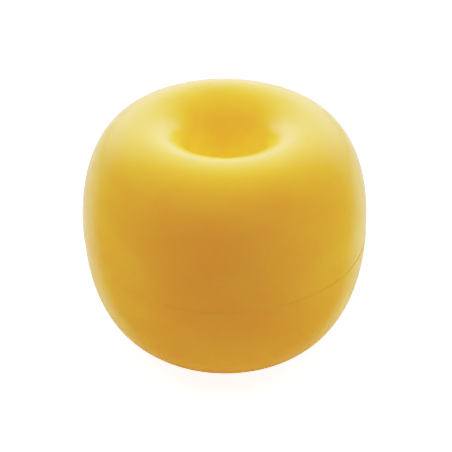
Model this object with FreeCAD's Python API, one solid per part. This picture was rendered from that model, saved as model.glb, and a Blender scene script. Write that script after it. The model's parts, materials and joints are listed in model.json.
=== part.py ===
"""Ball-type fence insulator: a thick ring bead of moulded plastic with a flared hole for the fence wire.

The bead is hollow. Two moulded shells, each with half of the outer skin, half of the bore tube and six
stiffening ribs, meet on the level seam at mid-height. There are two joints, one in the skin and one in the
bore tube. Each is a tongue on the lower shell in a groove of the upper shell, closed by a ring of weld
above the tongue.

Millimetres. The Z axis is the axis of the bore, +Z up, and the origin is the centre of the bead.
"""

import FreeCAD
import Part

import math
import os

# The bead
OUTER_RADIUS = 25.0
HALF_HEIGHT = 20.5
BORE_RADIUS = 6.25
MOUTH_RADIUS = 7.5  # radius of the rounded mouth at each end of the bore
FLANK_EXPONENT = 2.25  # 2 is an ellipse, and more fills out the shoulders

# The mouldings
WALL = 2.4  # thickness of the outer skin and of the bore tube
SEAM_BEVEL = 0.12  # bevel on each shell where the seam meets the surface

# Ribs between the bore tube and the skin
RIB_COUNT = 6
RIB_THICKNESS = 1.4
RIB_SEAM_GAP = 3.0  # the ribs stop this far short of the seam
RIB_ROOT = 0.6  # how deep a rib's edge is sunk in the wall that it stiffens

# Welded joints
TONGUE_WIDTH = 0.8
TONGUE_HEIGHT = 1.6
TONGUE_ROOT = 1.0  # how deep a tongue is sunk in its own shell
GROOVE_WIDTH = 0.9
WELD_HEIGHT = 0.4  # of the ring that fills the groove above a tongue

POINTS_PER_QUARTER = 24
UP = FreeCAD.Vector(0, 0, 1)
CENTRE = FreeCAD.Vector(0, 0, 0)

# The crown is the highest circle of the bead, where the flank turns into the mouth
crown_radius = BORE_RADIUS + MOUTH_RADIUS
mouth_height = HALF_HEIGHT - MOUTH_RADIUS


def point(radius, height):
    """A point of the half-plane that is turned about the bore's axis."""
    return FreeCAD.Vector(radius, 0, height)


def flank(inset):
    """Outer side from crown to equator to crown: the curve |x/a|^n + |z/b|^n = 1 about the crown's radius."""
    half_width = OUTER_RADIUS - inset - crown_radius
    half_height = HALF_HEIGHT - inset
    points = []
    for step in range(-POINTS_PER_QUARTER, POINTS_PER_QUARTER + 1):
        angle = math.radians(90 * step / POINTS_PER_QUARTER)
        across = math.cos(angle)
        along = math.sin(angle)
        reach = (abs(across) ** FLANK_EXPONENT + abs(along) ** FLANK_EXPONENT) ** (-1 / FLANK_EXPONENT)
        points.append(point(crown_radius + half_width * reach * across, half_height * reach * along))
    curve = Part.BSplineCurve()
    curve.interpolate(points)
    return curve.toShape()


def mouth(side, inset):
    """Rounded mouth at the top for side 1 and at the bottom for side -1: a quarter circle."""
    radius = MOUTH_RADIUS - inset
    diagonal = radius * math.sqrt(0.5)
    start = point(crown_radius, side * (mouth_height + radius))
    middle = point(crown_radius - diagonal, side * (mouth_height + diagonal))
    end = point(crown_radius - radius, side * mouth_height)
    return Part.Arc(start, middle, end).toShape()


def ring_section(inset=0.0):
    """Half section of the solid bead, on one side of its axis, with every side drawn in by inset."""
    bore_radius = BORE_RADIUS + inset
    bore = Part.makeLine(point(bore_radius, -mouth_height), point(bore_radius, mouth_height))
    return Part.Face(Part.Wire([flank(inset), mouth(1, inset), bore, mouth(-1, inset)]))


def rectangle(inner, outer, bottom, top):
    """Face between two radii and two heights."""
    corners = [point(inner, bottom), point(outer, bottom), point(outer, top), point(inner, top)]
    return Part.Face(Part.makePolygon(corners + corners[:1]))


def seam_notch(radius):
    """Diamond on the seam that bevels both shells where they meet the surface at a radius."""
    corners = [
        point(radius - SEAM_BEVEL, 0),
        point(radius, SEAM_BEVEL),
        point(radius + SEAM_BEVEL, 0),
        point(radius, -SEAM_BEVEL),
    ]
    return Part.Face(Part.makePolygon(corners + corners[:1]))


def turned(section):
    return section.revolve(CENTRE, UP, 360)


def one_solid(shape):
    """The single clean solid of a boolean result."""
    solids = shape.removeSplitter().Solids
    if len(solids) != 1:
        raise ValueError(f"expected one solid, got {len(solids)}")
    return solids[0]


def joint_radii():
    """Radius of the middle of each tongue: in the bore tube's wall, then in the outer skin."""
    return (BORE_RADIUS + WALL / 2, OUTER_RADIUS - WALL / 2)


def ring(radius, width, bottom, top):
    """Flat-sided ring about the bore's axis, with a radius to the middle of its width."""
    return turned(rectangle(radius - width / 2, radius + width / 2, bottom, top))


def tongue(radius):
    """Tongue with its root sunk in the wall below the seam."""
    return ring(radius, TONGUE_WIDTH, -TONGUE_ROOT, TONGUE_HEIGHT)


def groove(radius):
    return ring(radius, GROOVE_WIDTH, 0, TONGUE_HEIGHT + WELD_HEIGHT)


def weld_ring(radius):
    """Weld that fills a groove above its tongue."""
    return ring(radius, GROOVE_WIDTH, TONGUE_HEIGHT, TONGUE_HEIGHT + WELD_HEIGHT)


def walls(side):
    """Skin and bore tube of one shell, above the seam for side 1 and below it for side -1."""
    far = 2 * side * HALF_HEIGHT
    half_plane = rectangle(0, 2 * OUTER_RADIUS, min(0, far), max(0, far))
    notches = [seam_notch(radius) for radius in (BORE_RADIUS, OUTER_RADIUS)]
    section = ring_section().cut(ring_section(WALL)).common(half_plane).cut(notches)
    return turned(section.Faces[0])


def ribs(side):
    """Radial ribs from the bore tube to the skin, sunk a little in both and clear of the seam."""
    length = HALF_HEIGHT - RIB_SEAM_GAP
    bottom = RIB_SEAM_GAP if side > 0 else -HALF_HEIGHT
    slab = Part.makeBox(OUTER_RADIUS, RIB_THICKNESS, length, FreeCAD.Vector(0, -RIB_THICKNESS / 2, bottom))
    rib = slab.common(turned(ring_section(WALL - RIB_ROOT)))
    shapes = []
    for index in range(RIB_COUNT):
        turned_rib = rib.copy()
        turned_rib.rotate(CENTRE, UP, index * 360 / RIB_COUNT)
        shapes.append(turned_rib)
    return shapes


def upper_shell():
    grooves = [groove(radius) for radius in joint_radii()]
    return one_solid(walls(1).fuse(ribs(1)).cut(grooves))


def lower_shell():
    tongues = [tongue(radius) for radius in joint_radii()]
    return one_solid(walls(-1).fuse(ribs(-1) + tongues))


def write(name, shape):
    shape.exportStep(os.path.join("parts", f"{name}.step"))


def main():
    os.makedirs("parts", exist_ok=True)
    bore_joint, rim_joint = joint_radii()
    write("upper_shell", upper_shell())
    write("lower_shell", lower_shell())
    write("rim_weld_ring", weld_ring(rim_joint))
    write("bore_weld_ring", weld_ring(bore_joint))


main()
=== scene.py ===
"""Looks of the fence insulator: two glossy yellow shells, the seam between them, and a plain studio.

Everything is in metres, in the frame of the CAD model: the bore runs along Z and the bead's centre is the
origin. The camera looks along +Y and down.
"""

import json
import math

import bmesh
import bpy
from mathutils import Matrix, Vector


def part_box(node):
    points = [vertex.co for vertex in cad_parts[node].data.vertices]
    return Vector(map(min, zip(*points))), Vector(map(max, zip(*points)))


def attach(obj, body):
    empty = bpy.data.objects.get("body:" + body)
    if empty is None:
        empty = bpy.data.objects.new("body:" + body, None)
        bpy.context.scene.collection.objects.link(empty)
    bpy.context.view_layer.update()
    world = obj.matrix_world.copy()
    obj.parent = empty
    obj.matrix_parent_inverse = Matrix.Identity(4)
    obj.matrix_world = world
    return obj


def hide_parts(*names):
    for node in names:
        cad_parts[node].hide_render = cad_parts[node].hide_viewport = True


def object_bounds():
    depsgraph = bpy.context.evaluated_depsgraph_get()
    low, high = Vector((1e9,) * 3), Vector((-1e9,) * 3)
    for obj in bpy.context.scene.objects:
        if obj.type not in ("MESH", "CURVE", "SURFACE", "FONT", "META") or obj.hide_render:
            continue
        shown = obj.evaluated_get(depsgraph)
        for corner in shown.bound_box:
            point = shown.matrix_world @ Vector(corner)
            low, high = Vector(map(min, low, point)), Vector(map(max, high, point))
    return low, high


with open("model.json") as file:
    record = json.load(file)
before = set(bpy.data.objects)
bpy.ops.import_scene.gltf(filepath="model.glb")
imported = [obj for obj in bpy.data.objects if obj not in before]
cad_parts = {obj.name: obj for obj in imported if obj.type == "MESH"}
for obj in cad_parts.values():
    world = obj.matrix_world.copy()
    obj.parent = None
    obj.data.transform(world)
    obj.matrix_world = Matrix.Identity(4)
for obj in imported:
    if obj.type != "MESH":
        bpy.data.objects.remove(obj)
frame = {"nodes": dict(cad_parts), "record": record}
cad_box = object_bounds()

MM = 0.001

# Sizes of the bead, from the frame
OUTER_RADIUS = cad_box[1].x
HALF_HEIGHT = cad_box[1].z
WIRE_BORE = next(mount for mount in frame["record"]["mounts"] if mount["name"] == "wire_bore")
BORE_RADIUS = WIRE_BORE["dims"]["r_mm"] * MM
MOUTH_HEIGHT = WIRE_BORE["dims"]["length_mm"] * MM / 2  # where the straight bore turns into the mouth
MOUTH_RADIUS = HALF_HEIGHT - MOUTH_HEIGHT
CROWN_RADIUS = BORE_RADIUS + MOUTH_RADIUS  # of the highest circle, where flank and mouth meet
FLANK_EXPONENT = 2.25  # 2 is an ellipse, and more fills out the shoulders

# Sizes of the mouldings
WALL = 2.4 * MM
SEAM_EDGE = 0.02 * MM  # rounding of each shell where the seam meets the surface
SEAM_MISMATCH = Vector((-0.12, -0.05, 0)) * MM  # of the upper shell's surface past the lower one's
TONGUE_WIDTH = 0.8 * MM
TONGUE_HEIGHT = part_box("rim_weld_ring")[0].z
GROOVE_WIDTH = 0.9 * MM
GROOVE_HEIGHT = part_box("rim_weld_ring")[1].z
RIB_COUNT = 6
RIB_THICKNESS = 1.4 * MM
RIB_SEAM_GAP = 3.0 * MM
RIB_ROOT = 0.6 * MM  # how deep a rib's edge is sunk in a wall

# Mesh density
SEGMENTS = 256  # round the bead
FLANK_STEPS = 40
MOUTH_STEPS = 20
BORE_STEPS = 16
EDGE_STEPS = 4
SHARP_ANGLE = math.radians(35)

# Plastic: linear colours, base roughness and what the marks add to it, relief in mm
SHELL_COLOUR = (0.92, 0.605, 0.034)
SHELL_ROUGHNESS = 0.23
WELD_COLOUR = (0.84, 0.52, 0.016)
WELD_ROUGHNESS = 0.38
UNEVEN_ROUGHNESS = 0.01  # up and down, once with the orange peel and once with the ripples
RUBBED_ROUGHNESS = 0.02
HAIR_ROUGHNESS = 0.006
PEEL_RELIEF = 0.0006
RIPPLE_RELIEF = 0.03
HAIR_RELIEF = -0.00006
SCATTER = (0.3, 0.2, 0.1)  # distance in mm that red, green and blue light travel below the surface

# Studio: brightness is in scene units, and the print curve turns WHITE into paper white
WHITE = 1.8
GROUND = 1.5 * WHITE  # brightness of the background, well past white
LAMP_DISTANCE = 0.5
TABLE_HALF_SIZE = 2.0
TABLE_LIFT = 1.5  # extra brightness to the camera, near the bead; it rises to GROUND further out
TABLE_BOUNCE = 0.34  # extra light from the table on to the bead
TABLE_BOUNCE_COLOUR = (1.0, 0.69, 0.5, 1)  # warm, as if the bead had coloured the table round it
WALL_LIGHT = 2.35  # brightest part of the wall behind the bead, in reflections
CEILING_LIGHT = 0.12  # what the wall fades to overhead
WALL_FOOT_SHADE = 0.5  # how much darker the wall's foot is
ROOM_LIGHT = 0.06  # the dark rest of the room, in reflections
TOP_LAMP_COLOUR = (1.0, 0.965, 0.93)

# Print curve: scene brightness and printed brightness, and the least printed blue
PRINT_CURVE = ((0.3, 0.3), (0.56, 0.56), (0.8, 0.7), (1.04, 0.79), (1.5, 0.9))
BLUE_TOE = 0.0135
BLUE_TOE_END = 0.028

# Camera
CAMERA_ELEVATION = 34.66  # degrees
CAMERA_DISTANCE = 7.268 * OUTER_RADIUS
CAMERA_ROLL = 0.006  # radians
CAMERA_LENS = 81.1
CAMERA_SHIFT = (0.0026, -0.0080)


# Outlines: lists of (radius, height), for the upper half of the bead


def flank(inset):
    """From just above the equator up to the crown: |x/a|^n + |z/b|^n = 1 about the crown's radius."""
    half_width = OUTER_RADIUS - inset - CROWN_RADIUS
    half_height = HALF_HEIGHT - inset
    points = []
    for step in range(1, FLANK_STEPS + 1):
        angle = math.pi / 2 * step / FLANK_STEPS
        across, along = math.cos(angle), math.sin(angle)
        reach = (across ** FLANK_EXPONENT + along ** FLANK_EXPONENT) ** (-1 / FLANK_EXPONENT)
        points.append((CROWN_RADIUS + half_width * reach * across, half_height * reach * along))
    return points


def mouth(inset):
    """From the crown down the quarter circle to the end of the straight bore."""
    radius = MOUTH_RADIUS - inset
    points = []
    for step in range(1, MOUTH_STEPS + 1):
        angle = math.pi / 2 * step / MOUTH_STEPS
        points.append((CROWN_RADIUS - radius * math.sin(angle), MOUTH_HEIGHT + radius * math.cos(angle)))
    return points


def bore(inset, end):
    """Down the straight bore to a height."""
    points = []
    for step in range(1, BORE_STEPS + 1):
        points.append((BORE_RADIUS + inset, MOUTH_HEIGHT + (end - MOUTH_HEIGHT) * step / BORE_STEPS))
    return points


def joint(radius, width, height):
    """Groove (height above 0) or tongue (below 0) about a radius, from its inner side to its outer."""
    inner, outer = radius - width / 2, radius + width / 2
    return [(inner, 0), (inner, height), (outer, height), (outer, 0)]


def seam_edge(surface_radius, inward):
    """Rounded edge where the seam plane meets a surface, from the plane up to the surface."""
    points = []
    for step in range(EDGE_STEPS + 1):
        angle = math.pi / 2 * step / EDGE_STEPS
        radius = surface_radius + inward * SEAM_EDGE * (1 - math.sin(angle))
        points.append((radius, SEAM_EDGE * (1 - math.cos(angle))))
    return points


def shell_outline(side):
    """Half section of a shell, as the outline of its surface and then the rest, on the seam and inside.

    The lower shell (side -1) has tongues and otherwise mirrors the upper.
    """
    edge_top = 1.5 * SEAM_EDGE  # where the smooth walls start, a little above the rounded edge
    skin = [(r, z) for r, z in flank(0) if z > edge_top]
    surface = seam_edge(OUTER_RADIUS, -1)
    surface += skin + mouth(0) + bore(0, edge_top)
    surface += seam_edge(BORE_RADIUS, 1)[::-1]

    width, height = (GROOVE_WIDTH, GROOVE_HEIGHT) if side > 0 else (TONGUE_WIDTH, -TONGUE_HEIGHT)
    inside = joint(BORE_RADIUS + WALL / 2, width, height)
    inside += (flank(WALL) + mouth(WALL) + bore(WALL, 0))[::-1]
    inside += [(OUTER_RADIUS - WALL, 0)]
    inside += joint(OUTER_RADIUS - WALL / 2, width, height)
    return [[(r, side * z) for r, z in points] for points in (surface, inside)]


# Meshes


def finished_mesh(name, bm):
    """Mesh of a bmesh, with its normals turned outward."""
    bmesh.ops.recalc_face_normals(bm, faces=bm.faces)
    mesh = bpy.data.meshes.new(name)
    bm.to_mesh(mesh)
    bm.free()
    return mesh


def revolved(name, surface, inside, shift):
    """Closed mesh of a half section turned about Z, with its surface shifted but not its inside."""
    bm = bmesh.new()
    rings = []
    for index in range(SEGMENTS):
        angle = 2 * math.pi * index / SEGMENTS
        cosine, sine = math.cos(angle), math.sin(angle)
        places = [Vector((r * cosine, r * sine, z)) + shift for r, z in surface]
        places += [Vector((r * cosine, r * sine, z)) for r, z in inside]
        rings.append([bm.verts.new(place) for place in places])
    for index in range(SEGMENTS):
        here, there = rings[index], rings[(index + 1) % SEGMENTS]
        for low in range(len(here)):
            high = (low + 1) % len(here)
            bm.faces.new((here[low], there[low], there[high], here[high]))
    return finished_mesh(name, bm)


def rib_mesh(side):
    """Radial ribs, sunk a little in the walls of one shell and clear of the seam."""
    inset = WALL - RIB_ROOT
    arch = [(r, z) for r, z in flank(inset) + mouth(inset) if z > 1.1 * RIB_SEAM_GAP]
    outline = [(OUTER_RADIUS - inset, RIB_SEAM_GAP)] + arch + [(BORE_RADIUS + inset, RIB_SEAM_GAP)]
    bm = bmesh.new()
    for index in range(RIB_COUNT):
        turn = Matrix.Rotation(2 * math.pi * index / RIB_COUNT, 4, "Z")
        painted_reflection_shade, far = [
            [bm.verts.new(turn @ Vector((r, y, side * z))) for r, z in outline]
            for y in (-RIB_THICKNESS / 2, RIB_THICKNESS / 2)
        ]
        bm.faces.new(painted_reflection_shade)
        bm.faces.new(far[::-1])
        for low in range(len(outline)):
            high = (low + 1) % len(outline)
            bm.faces.new((painted_reflection_shade[high], painted_reflection_shade[low], far[low], far[high]))
    return finished_mesh("ribs", bm)


def add_object(name, data):
    obj = bpy.data.objects.new(name, data)
    bpy.context.scene.collection.objects.link(obj)
    return obj


def apply_modifiers(obj):
    """Bakes an object's modifiers into its mesh."""
    evaluated = obj.evaluated_get(bpy.context.evaluated_depsgraph_get())
    mesh = bpy.data.meshes.new_from_object(evaluated)
    obj.modifiers.clear()
    obj.data = mesh


def shell(name, side, node, material):
    """One moulded shell with its ribs, above the seam for side 1, in place of a node of the frame."""
    obj = add_object(name, revolved(name, *shell_outline(side), side * SEAM_MISMATCH / 2))
    tool = add_object("rib_tool", rib_mesh(side))
    union = obj.modifiers.new("ribs", "BOOLEAN")
    union.operation = "UNION"
    union.solver = "EXACT"
    union.object = tool
    apply_modifiers(obj)
    bpy.data.objects.remove(tool)
    obj.data.shade_smooth()
    obj.data.set_sharp_from_angle(angle=SHARP_ANGLE)
    set_material(obj, material)
    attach(obj, "root")
    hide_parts(node)


# Node trees


def add_node(tree, kind, inputs=None, **settings):
    """Shader node. Each input is a value, or the output socket that feeds it."""
    node = tree.nodes.new("ShaderNode" + kind)
    for key, value in settings.items():
        setattr(node, key, value)
    for key, value in (inputs or {}).items():
        if isinstance(value, bpy.types.NodeSocket):
            tree.links.new(value, node.inputs[key])
        else:
            node.inputs[key].default_value = value
    return node


def calc(tree, operation, *values):
    """Output of a Math node."""
    return add_node(tree, "Math", dict(enumerate(values)), operation=operation).outputs[0]


def remap(tree, value, low, high, to_low=0.0, to_high=1.0):
    """Output of a Map Range node with smooth ends."""
    inputs = {"Value": value, "From Min": low, "From Max": high, "To Min": to_low, "To Max": to_high}
    return add_node(tree, "MapRange", inputs, interpolation_type="SMOOTHSTEP").outputs[0]


def scaled(tree, vector, factor):
    """Output of a node that multiplies a vector by a number."""
    return add_node(tree, "VectorMath", {0: vector, "Scale": factor}, operation="SCALE").outputs[0]


def blend(tree, factor, first, second):
    """Colour between two colours. Its sockets are found by name among those in use for colours."""
    node = add_node(tree, "Mix", data_type="RGBA")
    for key, value in {"Factor": factor, "A": first, "B": second}.items():
        socket = next(s for s in node.inputs if s.name == key and s.enabled)
        if isinstance(value, bpy.types.NodeSocket):
            tree.links.new(value, socket)
        else:
            socket.default_value = value
    return next(s for s in node.outputs if s.enabled)


def new_material(name):
    """Material, its node tree and its Principled shader."""
    material = bpy.data.materials.new(name)
    material.use_nodes = True
    tree = material.node_tree
    return material, tree, tree.nodes["Principled BSDF"]


def set_material(obj, material):
    obj.data.materials.clear()
    obj.data.materials.append(material)


# Materials


def tinted(colour, red, green, blue):
    """A colour with each channel multiplied, and an alpha of 1."""
    return (colour[0] * red, colour[1] * green, colour[2] * blue, 1)


def noise(tree, place, waves_per_mm, detail=2.0, squeeze=(1, 1, 1), distortion=0.0):
    """Noise at a place in mm, squeezed along each axis."""
    squeezed = add_node(tree, "Mapping", {"Vector": place, "Scale": squeeze}).outputs[0]
    inputs = {"Vector": squeezed, "Scale": waves_per_mm, "Detail": detail, "Distortion": distortion}
    return add_node(tree, "TexNoise", inputs).outputs[0]


def pigment(tree, place, colour):
    """The plastic's colour, with wide faint clouds and small dark specks."""
    clouds = remap(tree, noise(tree, place, 0.055, 3, (1, 1, 1.8), 0.6), 0.3, 0.7)
    clouded = blend(tree, clouds, tinted(colour, 0.98, 0.95, 0.85), tinted(colour, 1.01, 1.03, 1.25))
    specks = remap(tree, noise(tree, place, 2.6), 0.66, 0.76, 0.0, 0.05)
    return blend(tree, specks, clouded, tinted(colour, 0.8, 0.7, 1.0))


def hairlines(tree, place):
    """Share of the surface in level and in steep hairlines."""
    level = remap(tree, noise(tree, place, 0.35, 6, (0.25, 0.25, 3.2), 0.4), 0.58, 0.70)
    steep = remap(tree, noise(tree, place, 0.5, 6, (1.6, 1.6, 0.12), 0.5), 0.60, 0.72)
    return calc(tree, "MAXIMUM", level, steep)


def plastic(name, colour, roughness):
    """Moulded plastic with orange peel, moulding ripples, and hairlines on its rubbed patches."""
    material, tree, shader = new_material(name)
    place = scaled(tree, add_node(tree, "TexCoord").outputs["Object"], 1 / MM)
    peel = noise(tree, place, 1.1, 3)
    ripples = noise(tree, place, 0.11, 1, (1, 1, 1.5))
    rubbed = remap(tree, noise(tree, place, 0.09), 0.42, 0.68)
    hairs = calc(tree, "MULTIPLY", hairlines(tree, place), rubbed)

    rough = remap(tree, peel, 0.3, 0.7, roughness - UNEVEN_ROUGHNESS, roughness + UNEVEN_ROUGHNESS)
    rough = calc(tree, "MULTIPLY_ADD", rubbed, RUBBED_ROUGHNESS, rough)
    rough = calc(tree, "MULTIPLY_ADD", hairs, HAIR_ROUGHNESS, rough)
    rough = calc(tree, "ADD", rough, remap(tree, ripples, 0.3, 0.7, -UNEVEN_ROUGHNESS, UNEVEN_ROUGHNESS))

    relief = calc(tree, "MULTIPLY", peel, PEEL_RELIEF)
    relief = calc(tree, "MULTIPLY_ADD", ripples, RIPPLE_RELIEF, relief)
    relief = calc(tree, "MULTIPLY_ADD", hairs, HAIR_RELIEF, relief)
    bump = add_node(tree, "Bump", {"Height": relief, "Distance": MM, "Strength": 1.0}).outputs[0]

    tree.links.new(pigment(tree, place, colour), shader.inputs["Base Color"])
    tree.links.new(rough, shader.inputs["Roughness"])
    tree.links.new(bump, shader.inputs["Normal"])
    shader.inputs["IOR"].default_value = 1.5
    shader.inputs["Subsurface Weight"].default_value = 1
    shader.inputs["Subsurface Radius"].default_value = SCATTER
    shader.inputs["Subsurface Scale"].default_value = MM
    return material


# Studio


def direction(azimuth, elevation):
    """Unit vector away from the bead. Azimuth 0 is the camera's side and 90 is +X."""
    turn, rise = math.radians(azimuth), math.radians(elevation)
    return Vector((math.sin(turn) * math.cos(rise), -math.cos(turn) * math.cos(rise), math.sin(rise)))


def add_lamp(name, kind, place, away, **settings):
    """Lamp that shines against the direction away, and shows neither to the camera nor in reflections."""
    lamp = bpy.data.lights.new(name, kind)
    for key, value in settings.items():
        setattr(lamp, key, value)
    obj = add_object(name, lamp)
    obj.location = place
    obj.rotation_mode = "QUATERNION"
    obj.rotation_quaternion = away.to_track_quat("Z", "Y")
    obj.visible_glossy = False
    obj.visible_camera = False


def softbox(name, azimuth, elevation, size, brightness, colour=(1, 1, 1)):
    """Square area lamp aimed at the bead."""
    away = direction(azimuth, elevation)
    energy = math.pi * size * size * brightness
    add_lamp(name, "AREA", away * LAMP_DISTANCE, away, shape="SQUARE", size=size, energy=energy, color=colour)


def bead_lamps():
    """Soft light from the sides, the top and the back, and a red fill from the camera's side."""
    softbox("left", -102, 20, 0.35, 1.62)
    softbox("right", 102, 20, 0.35, 2.0)
    softbox("top_left", -90, 60, 0.25, 5.1, TOP_LAMP_COLOUR)
    softbox("top_right", 90, 60, 0.25, 5.3, TOP_LAMP_COLOUR)
    softbox("back_top", 180, 55, 0.3, 1.7)
    softbox("back", 180, 15, 0.3, 9.1)
    softbox("warm_fill", 0, 60, 0.25, 2.0, (1, 0, 0))


def bore_lamps():
    """Light in the hole: a narrow spot on its mouth, and a lamp for what the plastic lets through."""
    away = direction(0, 50)
    target = Vector((0, BORE_RADIUS / 2, 0.8 * HALF_HEIGHT))
    cone = 2 * math.atan(0.65 * CROWN_RADIUS / LAMP_DISTANCE)  # about as wide as the mouth
    add_lamp(
        "mouth_spot", "SPOT", target + away * LAMP_DISTANCE, away,
        energy=10, color=(0.9, 1.0, 1.0), spot_size=cone, spot_blend=1.0, shadow_soft_size=0.015,
    )
    add_lamp(
        "bore_light", "POINT", Vector((0, 0, 0.65 * MOUTH_HEIGHT)), direction(0, 90),
        energy=0.00072, color=(0.56, 1.0, 0.64), shadow_soft_size=BORE_RADIUS / 2,
    )


def share_behind(tree, ray, full):
    """How far a ray turns from the camera's side (0) round to the far side of the bead (1)."""
    # The 1.001 keeps the level part of a vertical ray above zero, for the division
    _, away, up = add_node(tree, "SeparateXYZ", {0: ray}).outputs
    level = calc(tree, "SQRT", calc(tree, "SUBTRACT", 1.001, calc(tree, "MULTIPLY", up, up)))
    return remap(tree, calc(tree, "DIVIDE", away, level), 0.2, full)


def studio_world():
    """White to the camera. In reflections, a bright wall behind the bead and a dark room in front of it."""
    world = bpy.data.worlds.new("studio")
    world.use_nodes = True
    world.cycles.sampling_method = "NONE"
    tree = world.node_tree
    ray = add_node(tree, "TexCoord").outputs["Generated"]
    up = add_node(tree, "SeparateXYZ", {0: ray}).outputs["Z"]
    fade = {"Value": up, "From Min": 0.4, "From Max": 1.0, "To Min": WALL_LIGHT, "To Max": CEILING_LIGHT}
    wall = add_node(tree, "MapRange", fade).outputs[0]
    wall = calc(tree, "SUBTRACT", wall, remap(tree, up, 0.3, 0.0, 0.0, WALL_FOOT_SHADE))
    wall = calc(tree, "MULTIPLY", wall, share_behind(tree, ray, 1.0))
    wall = calc(tree, "MULTIPLY", wall, remap(tree, up, -0.12, 0.0))
    reflected = calc(tree, "ADD", wall, ROOM_LIGHT)
    path = add_node(tree, "LightPath").outputs
    seen = calc(tree, "MULTIPLY", path["Is Camera Ray"], GROUND)
    strength = calc(tree, "MULTIPLY_ADD", path["Is Glossy Ray"], reflected, seen)
    background = tree.nodes["Background"]
    background.inputs["Color"].default_value = (1, 1, 1, 1)
    tree.links.new(strength, background.inputs["Strength"])
    bpy.context.scene.world = world


def table_top():
    """Pale fine-grained surface, lit past white but for the bead's faint shadow, and clear from below. In
    reflections its colour is painted nearly black on the camera's side, as painted shade.
    """
    material, tree, shader = new_material("pale_table")
    place = add_node(tree, "TexCoord").outputs["Object"]
    path = add_node(tree, "LightPath").outputs
    geometry = add_node(tree, "NewGeometry").outputs

    grain = add_node(tree, "TexNoise", {"Vector": place, "Scale": 400.0}).outputs[0]
    colour = blend(tree, remap(tree, grain, 0.3, 0.7), (0.78, 0.78, 0.78, 1), (0.82, 0.82, 0.82, 1))
    # Painted shade: seen in reflections, the table's colour turns nearly black towards the camera's side, in
    # place of the bead's shadow on the table in front
    behind = share_behind(tree, scaled(tree, geometry["Incoming"], -1.0), 0.75)
    painted_reflection_shade = calc(tree, "MULTIPLY", path["Is Glossy Ray"], calc(tree, "SUBTRACT", 1.0, behind))
    colour = blend(tree, painted_reflection_shade, colour, (0.03, 0.03, 0.03, 1))

    distance = add_node(tree, "VectorMath", {0: place}, operation="LENGTH").outputs["Value"]
    lift = remap(tree, distance, 0.08, 0.3, TABLE_LIFT, GROUND)
    lift = calc(tree, "MULTIPLY", path["Is Camera Ray"], lift)
    glow = calc(tree, "MULTIPLY_ADD", path["Is Diffuse Ray"], TABLE_BOUNCE, lift)
    glow_colour = blend(tree, path["Is Camera Ray"], TABLE_BOUNCE_COLOUR, (1, 1, 1, 1))

    tree.links.new(colour, shader.inputs["Base Color"])
    tree.links.new(glow_colour, shader.inputs["Emission Color"])
    tree.links.new(glow, shader.inputs["Emission Strength"])
    shader.inputs["Roughness"].default_value = 0.7
    shader.inputs["Specular IOR Level"].default_value = 0.0
    from_below = calc(tree, "MULTIPLY", path["Is Camera Ray"], geometry["Backfacing"])
    clear = add_node(tree, "BsdfTransparent").outputs[0]
    cover = add_node(tree, "MixShader", {0: from_below, 1: shader.outputs[0], 2: clear}).outputs[0]
    tree.links.new(cover, tree.nodes["Material Output"].inputs["Surface"])
    return material


def table():
    """Flat table that the bead stands on."""
    bm = bmesh.new()
    bmesh.ops.create_grid(bm, x_segments=1, y_segments=1, size=TABLE_HALF_SIZE)
    floor = add_object("floor", finished_mesh("floor", bm))
    floor.location.z = -HALF_HEIGHT
    set_material(floor, table_top())


def print_curve():
    """Straight up to the midtones, then a soft shoulder up to white. Blue never prints as black."""
    settings = bpy.context.scene.view_settings
    settings.view_transform = "Standard"
    settings.use_curve_mapping = True
    mapping = settings.curve_mapping
    mapping.white_level = (WHITE, WHITE, WHITE)
    _, _, blue, combined = mapping.curves
    combined.points[1].location = (1, 1)
    for brightness, printed in PRINT_CURVE:
        combined.points.new(brightness / WHITE, printed)
    blue.points[0].location = (0, BLUE_TOE)
    blue.points.new(BLUE_TOE_END, BLUE_TOE_END)
    for point in blue.points:
        point.handle_type = "VECTOR"
    mapping.update()


def add_camera():
    """Close camera, looking down on the mouth."""
    camera_data = bpy.data.cameras.new("camera")
    camera_data.lens = CAMERA_LENS
    camera_data.shift_x, camera_data.shift_y = CAMERA_SHIFT
    camera_data.clip_start = 0.01
    camera = add_object("camera", camera_data)
    away = direction(0, CAMERA_ELEVATION)
    place = Matrix.Translation(away * CAMERA_DISTANCE)
    aim = (-away).to_track_quat("-Z", "Y").to_matrix().to_4x4()
    camera.matrix_world = place @ aim @ Matrix.Rotation(CAMERA_ROLL, 4, "Z")
    bpy.context.scene.camera = camera


def build():
    """The whole scene, bead first."""
    shell_plastic = plastic("shell_plastic", SHELL_COLOUR, SHELL_ROUGHNESS)
    weld_plastic = plastic("weld_plastic", WELD_COLOUR, WELD_ROUGHNESS)
    shell("upper_shell_moulding", 1, "upper_shell", shell_plastic)
    shell("lower_shell_moulding", -1, "lower_shell", shell_plastic)
    for name, node in frame["nodes"].items():
        set_material(node, weld_plastic if "weld" in name else shell_plastic)
    bead_lamps()
    bore_lamps()
    studio_world()
    table()
    print_curve()
    add_camera()
    bpy.context.scene.cycles.diffuse_bounces = 8
    bpy.context.scene.cycles.max_bounces = 12


build()
